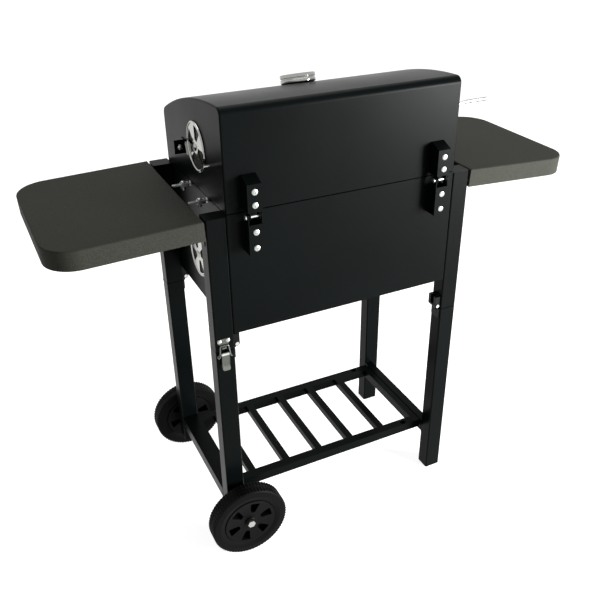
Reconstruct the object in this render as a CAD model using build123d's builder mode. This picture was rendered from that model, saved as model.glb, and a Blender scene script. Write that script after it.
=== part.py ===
from build123d import *
import os
from math import asin, cos, degrees, radians, sin

os.makedirs("parts", exist_ok=True)

# Frame: +X towards the wheels, +Y towards the lid hinges, +Z up, millimetres.
# The origin is on the floor under the middle of the cart.

# ---- Driving dimensions ----------------------------------------------------
frame_length = 584        # over the outer faces of the legs
frame_depth = 360
leg_width = 40            # along X
leg_depth = 36            # along Y
tube_wall = 1.5
leg_top_z = 811
wheel_seam_z = 533        # pins that the wheel-side legs fold about
foot_seam_z = 489.5       # one leg thickness lower, so both pairs stack when folded
seam_drop = 8             # the tubes part this far below their pins
seam_gap = 1.4

sheet = 1.5               # body and lid sheet steel
firebox_bottom_z = 560
firebox_top_z = 814
body_front_y = -168
lid_bottom_z = 816
lid_rear_top_z = 1009.5
lid_top_radius = 840      # the long curve of the lid's top
lid_front_top_z = 937
lid_front_top_y = -142
lid_front_drop = 12       # the turned-down lip ahead of the curve
lid_rear_radius = 14
lid_front_radius = 20
lid_edge_radius = 3

damper_radius = 49
damper_openings = 4
wheel_radius = 88
wheel_width = 38
wheel_x = 260
wheel_gap = 14            # from the leg to the tyre
axle_radius = 6
running_gap = 0.05        # radial clearance of every pin in its hole

table_length = 281
table_width = 365
table_depth = 38
table_gap = 2
table_corner = 62
wheel_table_droop = 1.7   # degrees that each table hangs below level
foot_table_droop = 3.0

shelf_top_z = 130
rail_size = 22
side_rail_reach = 143.4   # half width over the side rails

# ---- Derived places --------------------------------------------------------
leg_outer_x = frame_length / 2
leg_inner_x = leg_outer_x - leg_width
leg_x = leg_outer_x - leg_width / 2
rear_y = frame_depth / 2
leg_y = rear_y - leg_depth / 2
leg_inner_y = rear_y - leg_depth
body_depth = rear_y - body_front_y
body_y = (rear_y + body_front_y) / 2
body_half_x = leg_inner_x
wheel_y = rear_y + wheel_gap + wheel_width / 2

ends = {"wheel": (1, wheel_seam_z), "foot": (-1, foot_seam_z)}
rows = {"rear": 1, "front": -1}


def save(piece, name):
    """Label a finished piece and write it to its own file."""
    piece.part.label = name
    export_step(piece.part, f"parts/{name}.step")


# ---- Upper legs: welded to the firebox's ends ------------------------------
for end, (side_x, seam_z) in ends.items():
    for row, side_y in rows.items():
        with BuildPart() as upper_leg:
            with BuildSketch(Plane.XY.offset(seam_z - seam_drop + seam_gap / 2)):
                with Locations((side_x * leg_x, side_y * leg_y)):
                    Rectangle(leg_width, leg_depth)
            extrude(amount=leg_top_z - seam_z + seam_drop - seam_gap / 2)
            fillet(upper_leg.edges().filter_by(Axis.Z), 3)
            lower_end = upper_leg.faces().sort_by(Axis.Z)[0]
            offset(amount=-tube_wall, openings=lower_end)
        save(upper_leg, f"upper_leg_{row}_{end}_side")

# ---- Lower legs: each hangs on its own hinge; a stud carries the shelf -----
wheel_leg_bottom_z = 57
stud_reach = 5
stud_width = 12
stud_height = 8
wheel_stud_x = 282
foot_stud_x = 262
wheel_side_rail_bottom_z = 104
foot_side_rail_bottom_z = 98

for end, (side_x, seam_z) in ends.items():
    bottom_z = wheel_leg_bottom_z if end == "wheel" else 0
    stud_x = wheel_stud_x if end == "wheel" else foot_stud_x
    stud_top_z = wheel_side_rail_bottom_z if end == "wheel" else foot_side_rail_bottom_z
    for row, side_y in rows.items():
        with BuildPart() as lower_leg:
            with BuildSketch(Plane.XY.offset(bottom_z)):
                with Locations((side_x * leg_x, side_y * leg_y)):
                    Rectangle(leg_width, leg_depth)
            extrude(amount=seam_z - seam_drop - seam_gap / 2 - bottom_z)
            fillet(lower_leg.edges().filter_by(Axis.Z), 3)
            upper_end = lower_leg.faces().sort_by(Axis.Z)[-1]
            offset(amount=-tube_wall, openings=upper_end)
            with BuildSketch(Plane.XY.offset(stud_top_z - stud_height)):
                with Locations((side_x * stud_x, side_y * (leg_inner_y - stud_reach / 2 + tube_wall / 2))):
                    Rectangle(stud_width, stud_reach + tube_wall)
            extrude(amount=stud_height)
            if end == "wheel":
                with BuildSketch(Plane.XZ.offset(-side_y * (leg_inner_y - 1))):
                    with Locations((wheel_x, wheel_radius)):
                        Circle(axle_radius)
                extrude(amount=-side_y * (leg_depth + 2), mode=Mode.SUBTRACT)
        save(lower_leg, f"lower_leg_{row}_{end}_side")

# ---- Leg hinges: two leaves on each leg's inner face and a through pin -----
hinge_inset = 7           # the pin stands this far inside the leg's face
hinge_x = leg_inner_x - hinge_inset
knuckle_radius = 6
hinge_pin_radius = 2.5
leaf_thickness = 2.5
leaf_half_width = 14
middle_half_width = 5.5
knuckle_gap = 0.4
leaf_height = 25
upper_leaf_start = 5      # clears the middle knuckle
upper_leaf_height = 20
tail_height = 14          # joins the middle knuckle to the leaf below the seam
tail_width = hinge_inset - 0.5
block_height = 23         # the upper knuckles stand in solid blocks
block_reach = 13
pin_head_radius = 4
pin_head_height = 1.6

for end, (side_x, seam_z) in ends.items():
    for row, side_y in rows.items():
        with BuildPart() as lower_leaf:
            with BuildSketch(Plane.XZ.offset(-side_y * leg_y - middle_half_width)):
                with Locations((side_x * hinge_x, seam_z)):
                    Circle(knuckle_radius)
                with Locations((side_x * (hinge_x + tail_width / 2), seam_z - tail_height / 2)):
                    Rectangle(tail_width, tail_height)
                with Locations((side_x * hinge_x, seam_z)):
                    Circle(hinge_pin_radius + running_gap, mode=Mode.SUBTRACT)
            extrude(amount=2 * middle_half_width)
            with BuildSketch(Plane.YZ.offset(side_x * leg_inner_x)):
                with Locations((side_y * leg_y, seam_z - seam_drop - leaf_height / 2 - 1)):
                    RectangleRounded(2 * leaf_half_width, leaf_height, 4)
            extrude(amount=-side_x * leaf_thickness)
        save(lower_leaf, f"leg_hinge_leaf_{row}_{end}_side")

with BuildPart() as upper_leaves:
    for side_x, seam_z in ends.values():
        for side_y in rows.values():
            for outer_y in (-1, 1):
                start = side_y * leg_y + outer_y * (middle_half_width + knuckle_gap)
                with BuildSketch(Plane.XZ.offset(-start)):
                    with Locations((side_x * hinge_x, seam_z)):
                        Circle(knuckle_radius)
                    with Locations((side_x * (leg_inner_x - block_reach / 2), seam_z + block_height / 2)):
                        Rectangle(block_reach, block_height)
                    with Locations((side_x * hinge_x, seam_z)):
                        Circle(hinge_pin_radius, mode=Mode.SUBTRACT)
                extrude(amount=-outer_y * (leaf_half_width - middle_half_width - knuckle_gap))
            with BuildSketch(Plane.YZ.offset(side_x * leg_inner_x)):
                with Locations((side_y * leg_y, seam_z + upper_leaf_start + upper_leaf_height / 2)):
                    RectangleRounded(2 * leaf_half_width, upper_leaf_height, 4)
            extrude(amount=-side_x * leaf_thickness)
save(upper_leaves, "leg_hinge_upper_leaves")

with BuildPart() as leg_pins:
    for side_x, seam_z in ends.values():
        for side_y in rows.values():
            with BuildSketch(Plane.XZ.offset(-side_y * leg_y - leaf_half_width)):
                with Locations((side_x * hinge_x, seam_z)):
                    Circle(hinge_pin_radius)
            extrude(amount=2 * leaf_half_width)
            for outer_y in (-1, 1):
                with BuildSketch(Plane.XZ.offset(-side_y * leg_y - outer_y * leaf_half_width)):
                    with Locations((side_x * hinge_x, seam_z)):
                        Circle(pin_head_radius)
                extrude(amount=-outer_y * pin_head_height)
save(leg_pins, "leg_hinge_pins")

# ---- Firebox: open box with damper holes at both ends and a fuel opening ---
firebox_damper_y = -1
firebox_damper_z = 657
lid_damper_y = 39
lid_damper_z = 902
opening_inner_radius = 14
opening_outer_radius = 41.5
opening_angle = 46
rivet_radius = 3
door_width = 260
door_height = 110
door_bottom_z = 596
door_overlap = 8
door_hinge_middle = 90
door_hinge_y = body_front_y - 4.2
door_hinge_z = door_bottom_z - 3.5
door_knuckle_length = 20
door_knuckle_radius = 3.5
door_pin_radius = 1.8
door_ear_x = 14           # each ear, from the hinge's middle
door_ear_sheet = 3
door_ear_radius = 3


with BuildSketch() as sectors:
    for turn in range(damper_openings):
        start = turn * 360 / damper_openings
        sweep_angles = [radians(start + part * opening_angle / 2) for part in (-1, 0, 1)]
        outer_points = [(opening_outer_radius * cos(a), opening_outer_radius * sin(a)) for a in sweep_angles]
        inner_points = [(opening_inner_radius * cos(a), opening_inner_radius * sin(a)) for a in sweep_angles]
        with BuildLine():
            ThreePointArc(*outer_points)
            Line(outer_points[2], inner_points[2])
            ThreePointArc(*reversed(inner_points))
            Line(inner_points[0], outer_points[0])
        make_face()


def damper_plane(x, y, z):
    """Plane on an end wall with its X along +Y and its Y along +Z."""
    return Plane(origin=(x, y, z), x_dir=(0, 1, 0), z_dir=(1, 0, 0))


firebox_phase = 20
lid_phase = 70
vent_closing = 37         # turn that lines the discs up with the walls' openings

with BuildPart() as firebox:
    with BuildSketch(Plane.XY.offset(firebox_bottom_z)):
        with Locations((0, body_y)):
            Rectangle(2 * body_half_x, body_depth)
    extrude(amount=firebox_top_z - firebox_bottom_z)
    fillet(firebox.edges().filter_by(Axis.Z), 3)
    mouth = firebox.faces().sort_by(Axis.Z)[-1]
    offset(amount=-sheet, openings=mouth)
    for side_x in (-1, 1):
        with BuildSketch(damper_plane(side_x * body_half_x, firebox_damper_y, firebox_damper_z)):
            add(sectors.sketch, rotation=firebox_phase + side_x * vent_closing)
            Circle(rivet_radius + running_gap)
        extrude(amount=-side_x * 3 * sheet, mode=Mode.SUBTRACT)
    with BuildSketch(Plane.XZ.offset(-body_front_y)):
        with Locations((0, door_bottom_z + door_height / 2)):
            Rectangle(door_width - 2 * door_overlap, door_height - 2 * door_overlap)
    extrude(amount=-3 * sheet, mode=Mode.SUBTRACT)
    for door_hinge_x in (-door_hinge_middle, door_hinge_middle):
        for ear_x in (door_hinge_x - door_ear_x, door_hinge_x + door_ear_x):
            with BuildSketch(Plane.YZ.offset(ear_x - door_ear_sheet / 2)):
                with Locations((door_hinge_y, door_hinge_z)):
                    Circle(door_ear_radius)
                with Locations(((door_hinge_y + body_front_y) / 2, door_hinge_z)):
                    Rectangle(body_front_y - door_hinge_y, 2 * door_ear_radius)
            extrude(amount=door_ear_sheet)
        with BuildSketch(Plane.YZ.offset(door_hinge_x - door_ear_x)):
            with Locations((door_hinge_y, door_hinge_z)):
                Circle(door_pin_radius)
        extrude(amount=2 * door_ear_x)
save(firebox, "firebox")

# Ledges inside the firebox: the upper pair carries the grates, the lower pair the tray.
ledge_depth = 14
ledge_thickness = 2
grate_ledge_z = 784
tray_ledge_z = 618
ledge_length = 2 * body_half_x - 24

with BuildPart() as ledges:
    for ledge_z in (grate_ledge_z, tray_ledge_z):
        for wall_y, inward in ((rear_y - sheet, -1), (body_front_y + sheet, 1)):
            with BuildSketch(Plane.YZ.offset(-ledge_length / 2)):
                with Locations((wall_y + inward * ledge_depth / 2, ledge_z - ledge_thickness / 2)):
                    Rectangle(ledge_depth, ledge_thickness)
                with Locations((wall_y + inward * ledge_thickness / 2, ledge_z - ledge_depth / 2)):
                    Rectangle(ledge_thickness, ledge_depth)
            extrude(amount=ledge_length)
save(ledges, "firebox_ledges")

# ---- Lid: one long shallow curve over vertical walls -----------------------
rack_rod_z = 898
rack_rod_ys = (139, 20)
rack_rod_radius = 2.5
with BuildSketch() as lid_outline:
    with BuildLine():
        Line((rear_y, lid_bottom_z), (rear_y, lid_rear_top_z))
        RadiusArc((rear_y, lid_rear_top_z), (lid_front_top_y, lid_front_top_z), -lid_top_radius)
        Line((lid_front_top_y, lid_front_top_z), (body_front_y, lid_front_top_z - lid_front_drop))
        Line((body_front_y, lid_front_top_z - lid_front_drop), (body_front_y, lid_bottom_z))
        Line((body_front_y, lid_bottom_z), (rear_y, lid_bottom_z))
    make_face()
    top_corner = lid_outline.vertices().group_by(Axis.X)[-1].sort_by(Axis.Y)[-1]
    fillet(top_corner, lid_rear_radius)
    front_corner = lid_outline.vertices().group_by(Axis.X)[0].sort_by(Axis.Y)[-1]
    fillet(front_corner, lid_front_radius)

with BuildSketch() as lid_hollow:
    offset(lid_outline.sketch, amount=-sheet)
    with Locations((body_y, lid_bottom_z)):
        Rectangle(body_depth - 2 * sheet, 4 * sheet)

with BuildPart() as lid:
    with BuildSketch(Plane.YZ.offset(-body_half_x)):
        add(lid_outline.sketch)
    extrude(amount=2 * body_half_x)
    end_edges = lid.edges().group_by(Axis.X)[0] + lid.edges().group_by(Axis.X)[-1]
    fillet(end_edges.filter_by(GeomType.CIRCLE) + end_edges.filter_by(Axis.Z), lid_edge_radius)
    with BuildSketch(Plane.YZ.offset(-body_half_x + sheet)):
        add(lid_hollow.sketch)
    extrude(amount=2 * (body_half_x - sheet), mode=Mode.SUBTRACT)
    for side_x in (-1, 1):
        with BuildSketch(damper_plane(side_x * body_half_x, lid_damper_y, lid_damper_z)):
            add(sectors.sketch, rotation=lid_phase + side_x * vent_closing)
            Circle(rivet_radius + running_gap)
            with Locations((rack_rod_ys[0] - lid_damper_y, rack_rod_z - lid_damper_z)):
                Circle(rack_rod_radius + running_gap)
        extrude(amount=-side_x * 3 * sheet, mode=Mode.SUBTRACT)

# The thermometer stands square to the lid's top, in front of its middle.
thermometer_y = -35
lid_chord = ((rear_y - lid_front_top_y) ** 2 + (lid_rear_top_z - lid_front_top_z) ** 2) ** 0.5
chord_angle = degrees(asin((lid_rear_top_z - lid_front_top_z) / lid_chord))
half_angle = degrees(asin(lid_chord / 2 / lid_top_radius))
crown_angle = chord_angle - half_angle          # slope of the lid's top at its rear edge
arc_centre_y = rear_y + lid_top_radius * sin(radians(crown_angle))
arc_centre_z = lid_rear_top_z - lid_top_radius * cos(radians(crown_angle))
thermometer_angle = degrees(asin((arc_centre_y - thermometer_y) / lid_top_radius))
thermometer_z = arc_centre_z + lid_top_radius * cos(radians(thermometer_angle))
thermometer_axis = (0, -sin(radians(thermometer_angle)), cos(radians(thermometer_angle)))
thermometer_plane = Plane(origin=(0, thermometer_y, thermometer_z), x_dir=(1, 0, 0), z_dir=thermometer_axis)
stem_radius = 4

with lid:
    with BuildSketch(thermometer_plane.offset(-4 * sheet)):
        Circle(stem_radius + running_gap)
    extrude(amount=8 * sheet, mode=Mode.SUBTRACT)
save(lid, "lid")

# ---- Rotary dampers: a chromed disc with a rim, a rivet and a bent tab -----
disc_thickness = 1.5
disc_gap = 0.6
rim_width = 5
rim_height = 3
rivet_head_radius = 6
rivet_head_height = 3
tab_width = 26
tab_turn = 130            # from the first opening
tab_reach = 5
rod_radius = 4
rod_length = 184
rod_jog = 8

dampers = {
    "lid_damper_wheel_side": (1, lid_damper_y, lid_damper_z, lid_phase),
    "lid_damper_foot_side": (-1, lid_damper_y, lid_damper_z, lid_phase),
    "firebox_damper_wheel_side": (1, firebox_damper_y, firebox_damper_z, firebox_phase),
    "firebox_damper_foot_side": (-1, firebox_damper_y, firebox_damper_z, firebox_phase),
}

for name, (side_x, centre_y, centre_z, phase) in dampers.items():
    disc_x = side_x * (body_half_x + disc_gap)
    outer_x = side_x * (body_half_x + disc_gap + disc_thickness)
    with BuildPart() as damper:
        with BuildSketch(damper_plane(disc_x, centre_y, centre_z)):
            Circle(damper_radius)
            add(sectors.sketch, rotation=phase, mode=Mode.SUBTRACT)
        extrude(amount=side_x * disc_thickness)
        with BuildSketch(damper_plane(disc_x, centre_y, centre_z)):
            Circle(damper_radius)
            Circle(damper_radius - rim_width, mode=Mode.SUBTRACT)
        extrude(amount=side_x * rim_height)
        with BuildSketch(damper_plane(outer_x, centre_y, centre_z)):
            Circle(rivet_head_radius)
        extrude(amount=side_x * rivet_head_height)
        inner_end_x = side_x * (body_half_x - sheet - disc_gap - 2)
        with BuildSketch(damper_plane(inner_end_x, centre_y, centre_z)):
            Circle(rivet_radius)
        extrude(amount=side_x * (sheet + 2 * disc_gap + 2))
        with BuildSketch(damper_plane(inner_end_x, centre_y, centre_z)):
            Circle(rivet_head_radius)
        extrude(amount=side_x * 2)
        tab_angle = phase + tab_turn
        tab_centre = damper_radius - sheet
        with BuildSketch(damper_plane(disc_x, centre_y, centre_z)):
            with PolarLocations(tab_centre, 1, start_angle=tab_angle):
                Rectangle(2, tab_width)
        extrude(amount=side_x * (disc_thickness + tab_reach))
    save(damper, name)

# The foot-side lid damper is worked by a rod with an easy jog along its length.
rod_start_x = -(body_half_x + disc_gap + disc_thickness + rivet_head_height)
rod_end_x = -(body_half_x + rod_length)
rod_third = (rod_end_x - rod_start_x) / 3
rod_points = [
    (rod_start_x, lid_damper_y, lid_damper_z),
    (rod_start_x + rod_third, lid_damper_y, lid_damper_z),
    (rod_start_x + 2 * rod_third, lid_damper_y, lid_damper_z + rod_jog),
    (rod_end_x, lid_damper_y, lid_damper_z + rod_jog),
]
with BuildPart() as damper_rod:
    with BuildLine() as rod_path:
        FilletPolyline(*rod_points, radius=60)
    with BuildSketch(Plane(origin=rod_points[0], z_dir=(-1, 0, 0))):
        Circle(rod_radius)
    sweep(path=rod_path.line)
    rod_tip = damper_rod.faces().sort_by(Axis.X)[0]
    fillet(rod_tip.edges(), rod_radius - 0.5)
save(damper_rod, "lid_damper_rod")

# ---- Lid hinges: two stand-off channels each side of a cross pin -----------
lid_hinge_x = 205
channel_width = 29
channel_depth = 28
channel_sheet = 2
lid_hinge_y = 200
lid_hinge_z = 812
upper_channel = {"bottom": 822, "front_top": 876, "wall_top": 887}
lower_channel_bottom_z = 737
lower_channel_top_z = 798
ear_radius = 7
ear_thickness = 2
lid_pin_radius = 3
lower_ear_x = 13.4        # middle of each ear, from the hinge's middle
upper_ear_x = 9.6
hinge_screw_radius = 6
hinge_screw_height = 3

with BuildPart() as upper_channels:
    for hinge_middle in (-lid_hinge_x, lid_hinge_x):
        with BuildSketch(Plane.YZ.offset(hinge_middle - channel_width / 2)):
            with BuildLine():
                Polyline(
                    (rear_y, upper_channel["bottom"]),
                    (rear_y + channel_depth, upper_channel["bottom"]),
                    (rear_y + channel_depth, upper_channel["front_top"]),
                    (rear_y, upper_channel["wall_top"]),
                    close=True,
                )
            make_face()
            with BuildLine():
                Polyline(
                    (rear_y, upper_channel["bottom"] + channel_sheet),
                    (rear_y + channel_depth - channel_sheet, upper_channel["bottom"] + channel_sheet),
                    (rear_y + channel_depth - channel_sheet, upper_channel["front_top"] - channel_sheet),
                    (rear_y, upper_channel["wall_top"] - channel_sheet),
                    close=True,
                )
            make_face(mode=Mode.SUBTRACT)
        extrude(amount=channel_width)
        for ear_side in (-1, 1):
            ears = ((upper_ear_x, True), (channel_width / 2 - ear_thickness / 2, False))
            for ear_offset, keep_hole in ears:
                ear_x = hinge_middle + ear_side * ear_offset
                with BuildSketch(Plane.YZ.offset(ear_x - ear_thickness / 2)):
                    if keep_hole:
                        with Locations((lid_hinge_y, (lid_hinge_z + upper_channel["bottom"] + 1) / 2)):
                            Rectangle(2 * ear_radius, upper_channel["bottom"] + 1 - lid_hinge_z)
                        with Locations((lid_hinge_y, lid_hinge_z)):
                            Circle(ear_radius)
                            Circle(lid_pin_radius + running_gap, mode=Mode.SUBTRACT)
                    else:
                        with BuildLine():
                            Polyline(
                                (rear_y, upper_channel["bottom"]),
                                (rear_y + channel_depth, upper_channel["bottom"]),
                                (rear_y + channel_depth, upper_channel["front_top"]),
                                (rear_y, upper_channel["wall_top"]),
                                close=True,
                            )
                        make_face()
                extrude(amount=ear_thickness)
save(upper_channels, "lid_hinge_upper_brackets")

lower_channel_height = lower_channel_top_z - lower_channel_bottom_z
with BuildPart() as lower_channels:
    for hinge_middle in (-lid_hinge_x, lid_hinge_x):
        with BuildSketch(Plane.XY.offset(lower_channel_bottom_z)):
            with Locations((hinge_middle, rear_y + channel_depth / 2)):
                Rectangle(channel_width, channel_depth)
            with Locations((hinge_middle, rear_y + channel_depth / 2 - channel_sheet / 2)):
                inner_width = channel_width - 2 * channel_sheet
                Rectangle(inner_width, channel_depth - channel_sheet, mode=Mode.SUBTRACT)
        extrude(amount=lower_channel_height)
        with BuildSketch(Plane.XY.offset(lower_channel_bottom_z)):
            with Locations((hinge_middle, rear_y + channel_depth / 2)):
                Rectangle(channel_width, channel_depth)
        extrude(amount=channel_sheet)
        for ear_side in (-1, 1):
            ear_x = hinge_middle + ear_side * lower_ear_x
            with BuildSketch(Plane.YZ.offset(ear_x - ear_thickness / 2)):
                with Locations((lid_hinge_y, (lid_hinge_z + lower_channel_top_z - 1) / 2)):
                    Rectangle(2 * ear_radius, lid_hinge_z - lower_channel_top_z + 1)
                with Locations((lid_hinge_y, lid_hinge_z)):
                    Circle(ear_radius)
                    Circle(lid_pin_radius, mode=Mode.SUBTRACT)
            extrude(amount=ear_thickness)
save(lower_channels, "lid_hinge_lower_brackets")

lid_pin_length = 32
with BuildPart() as lid_pins:
    for hinge_middle in (-lid_hinge_x, lid_hinge_x):
        with BuildSketch(Plane.YZ.offset(hinge_middle - lid_pin_length / 2)):
            with Locations((lid_hinge_y, lid_hinge_z)):
                Circle(lid_pin_radius)
        extrude(amount=lid_pin_length)
        with BuildSketch(Plane.YZ.offset(hinge_middle + lid_pin_length / 2)):
            with Locations((lid_hinge_y, lid_hinge_z)):
                Circle(5)
        extrude(amount=2)
save(lid_pins, "lid_hinge_pins")


def hinge_screws(name, heights):
    """Pan-head screws on the outer faces of both hinge brackets."""
    with BuildPart() as screws:
        for hinge_middle in (-lid_hinge_x, lid_hinge_x):
            for screw_z in heights:
                with BuildSketch(Plane.XZ.offset(-rear_y - channel_depth)):
                    with Locations((hinge_middle, screw_z)):
                        Circle(hinge_screw_radius)
                extrude(amount=-hinge_screw_height, taper=20)
    save(screws, name)


hinge_screws("lid_hinge_upper_screws", (861.5, 836))
hinge_screws("lid_hinge_lower_screws", (783, 751))

# ---- Lid front handle, side plate and thermometer --------------------------
handle_length = 380
handle_radius = 10
handle_y = body_front_y - 45
handle_z = 862
bracket_x = 165

with BuildPart() as handle_bar:
    with BuildSketch(Plane.YZ.offset(-handle_length / 2)):
        with Locations((handle_y, handle_z)):
            Circle(handle_radius)
    extrude(amount=handle_length)
    fillet(handle_bar.edges(), 4)
save(handle_bar, "lid_handle")

with BuildPart() as handle_brackets:
    for middle_x in (-bracket_x, bracket_x):
        with BuildSketch(Plane.XY.offset(handle_z - 8)):
            with Locations((middle_x, (body_front_y + handle_y + handle_radius) / 2)):
                Rectangle(10, body_front_y - handle_y - handle_radius)
        extrude(amount=16)
        with BuildSketch(Plane.XZ.offset(-body_front_y)):
            with Locations((middle_x, handle_z)):
                RectangleRounded(30, 44, 4)
        extrude(amount=3)
save(handle_brackets, "lid_handle_brackets")

# An angle lug on the lid's wheel-side end: a foot on the wall, and an ear that
# stands out across it and carries a bolt.
lug_sheet = 2
lug_ear_y = -34
lug_foot_length = 18
lug_reach = 22
lug_height = 28
lug_z = 881
lug_bolt_x = body_half_x + 13
lug_bolt_radius = 5.5
with BuildPart() as side_plate:
    with BuildSketch(damper_plane(body_half_x, lug_ear_y - lug_foot_length / 2, lug_z)):
        Rectangle(lug_foot_length, lug_height)
    extrude(amount=lug_sheet)
    with BuildSketch(Plane.XZ.offset(-lug_ear_y)):
        with Locations((body_half_x + lug_reach / 2, lug_z)):
            Rectangle(lug_reach, lug_height)
    extrude(amount=lug_sheet)
    with BuildSketch(Plane.XZ.offset(-lug_ear_y)):
        with Locations((lug_bolt_x, lug_z)):
            Circle(lug_bolt_radius)
    extrude(amount=-3)
save(side_plate, "lid_side_plate")

case_radius = 37
case_height = 20
with BuildPart() as thermometer_case:
    with BuildSketch(thermometer_plane.offset(1)):
        Circle(case_radius)
    extrude(amount=case_height - 1)
    with BuildSketch(thermometer_plane.offset(case_height - 5)):
        Circle(case_radius - 5)
    extrude(amount=5, mode=Mode.SUBTRACT)
    with BuildSketch(thermometer_plane.offset(-60)):
        Circle(stem_radius)
    extrude(amount=61)
    top_rim = thermometer_case.edges().filter_by(GeomType.CIRCLE).sort_by(Axis.Z)[-2:]
    fillet(top_rim, 1.2)
save(thermometer_case, "thermometer_case")

with BuildPart() as thermometer_dial:
    with BuildSketch(thermometer_plane.offset(case_height - 5)):
        Circle(case_radius - 5.2)
    extrude(amount=0.6)
    with BuildSketch(thermometer_plane.offset(case_height - 4.4)):
        Rectangle(1.6, 40)
        Circle(3)
    extrude(amount=0.8)
save(thermometer_dial, "thermometer_dial")

with BuildPart() as thermometer_glass:
    with BuildSketch(thermometer_plane.offset(case_height - 3)):
        Circle(case_radius - 5.2)
    extrude(amount=1.5)
save(thermometer_glass, "thermometer_glass")

# Warming rack: wires on two cross rods whose ends come out through the lid's ends.
rack_pin_reach = 22
wire_radius = 2
rack_wire_count = 9
with BuildPart() as warming_rack:
    for index, rod_y in enumerate(rack_rod_ys):
        reach = rack_pin_reach if index == 0 else -8
        rod_half = body_half_x + reach
        with BuildSketch(Plane.YZ.offset(-rod_half)):
            with Locations((rod_y, rack_rod_z)):
                Circle(rack_rod_radius)
        extrude(amount=2 * rod_half)
    wire_length = rack_rod_ys[0] - rack_rod_ys[1]
    with BuildSketch(Plane.XZ.offset(-rack_rod_ys[1])):
        with GridLocations(52, 1, rack_wire_count, 1):
            with Locations((0, rack_rod_z)):
                Circle(wire_radius)
    extrude(amount=-wire_length)
save(warming_rack, "warming_rack")

# ---- Side tables: pressed trays, open below, hinged inside their inner edge
table_hinge_inset = 10
table_hinge_x = leg_outer_x + table_hinge_inset
table_hinge_z = 776
table_pin_radius = 2
table_knuckle_radius = 4
lug_inner = 6.4
lug_outer = 12
tables = {"wheel": (1, wheel_table_droop), "foot": (-1, foot_table_droop)}


def table_plane(side_x, droop):
    """Plane of one table: its X runs outwards along the drooping table, its Z up."""
    tilt = radians(droop)
    outward = (side_x * cos(tilt), 0, -sin(tilt))
    upward = (side_x * sin(tilt), 0, cos(tilt))
    return Plane(origin=(side_x * table_hinge_x, 0, table_hinge_z), x_dir=outward, z_dir=upward)


inner_edge = leg_outer_x + table_gap - table_hinge_x
table_top = leg_top_z - table_hinge_z
table_middle = inner_edge + table_length / 2

for end, (side_x, droop) in tables.items():
    surface = table_plane(side_x, droop)
    with BuildPart() as table:
        with BuildSketch(surface.offset(table_top - table_depth)):
            with Locations((table_middle, 0)):
                Rectangle(table_length, table_width)
        extrude(amount=table_depth)
        upright = Axis(surface.origin, surface.z_dir)
        outer_corners = table.edges().filter_by(upright).sort_by(Axis.X, reverse=side_x > 0)[:2]
        fillet(outer_corners, table_corner)
        rim = table.faces().filter_by(upright).sort_by(Axis.Z)[-1].edges()
        fillet(rim, 3)
        hollow = table.faces().sort_by(Axis.Z)[0]
        offset(amount=-2, openings=hollow)
        with BuildSketch(surface.offset(table_top - table_depth)):
            with Locations((inner_edge + 1, leg_y), (inner_edge + 1, -leg_y)):
                Rectangle(4, 2 * lug_outer + 3)
        extrude(amount=14, mode=Mode.SUBTRACT)
        for side_y in rows.values():
            for lug in (-1, 1):
                lug_middle = side_y * leg_y + lug * (lug_inner + lug_outer) / 2
                lug_plane = Plane(
                    origin=(side_x * table_hinge_x, lug_middle, table_hinge_z),
                    x_dir=surface.x_dir,
                    z_dir=(0, -side_x, 0),
                )
                with BuildSketch(lug_plane.offset(-(lug_outer - lug_inner) / 2)):
                    Circle(table_knuckle_radius)
                    with Locations((0, (table_top - 1) / 2)):
                        Rectangle(5, table_top - 1)
                    Circle(table_pin_radius + running_gap, mode=Mode.SUBTRACT)
                extrude(amount=lug_outer - lug_inner)
    save(table, f"side_table_{end}_side")

with BuildPart() as table_hinges:
    for side_x in (-1, 1):
        for side_y in rows.values():
            with BuildSketch(Plane.XZ.offset(-side_y * leg_y - lug_inner + 0.4)):
                with Locations((side_x * table_hinge_x, table_hinge_z)):
                    Circle(table_knuckle_radius)
                with Locations((side_x * (leg_outer_x + table_hinge_inset / 2), table_hinge_z - 1.5)):
                    Rectangle(table_hinge_inset, 3)
            extrude(amount=2 * (lug_inner - 0.4))
            with BuildSketch(Plane.XZ.offset(-side_y * leg_y - lug_outer)):
                with Locations((side_x * table_hinge_x, table_hinge_z)):
                    Circle(table_pin_radius)
            extrude(amount=2 * lug_outer)
            with BuildSketch(Plane.YZ.offset(side_x * leg_outer_x)):
                with Locations((side_y * leg_y, table_hinge_z - 8)):
                    Rectangle(2 * (lug_inner - 0.4), 24)
            extrude(amount=side_x * 1.2)
save(table_hinges, "table_hinge_brackets")

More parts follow.
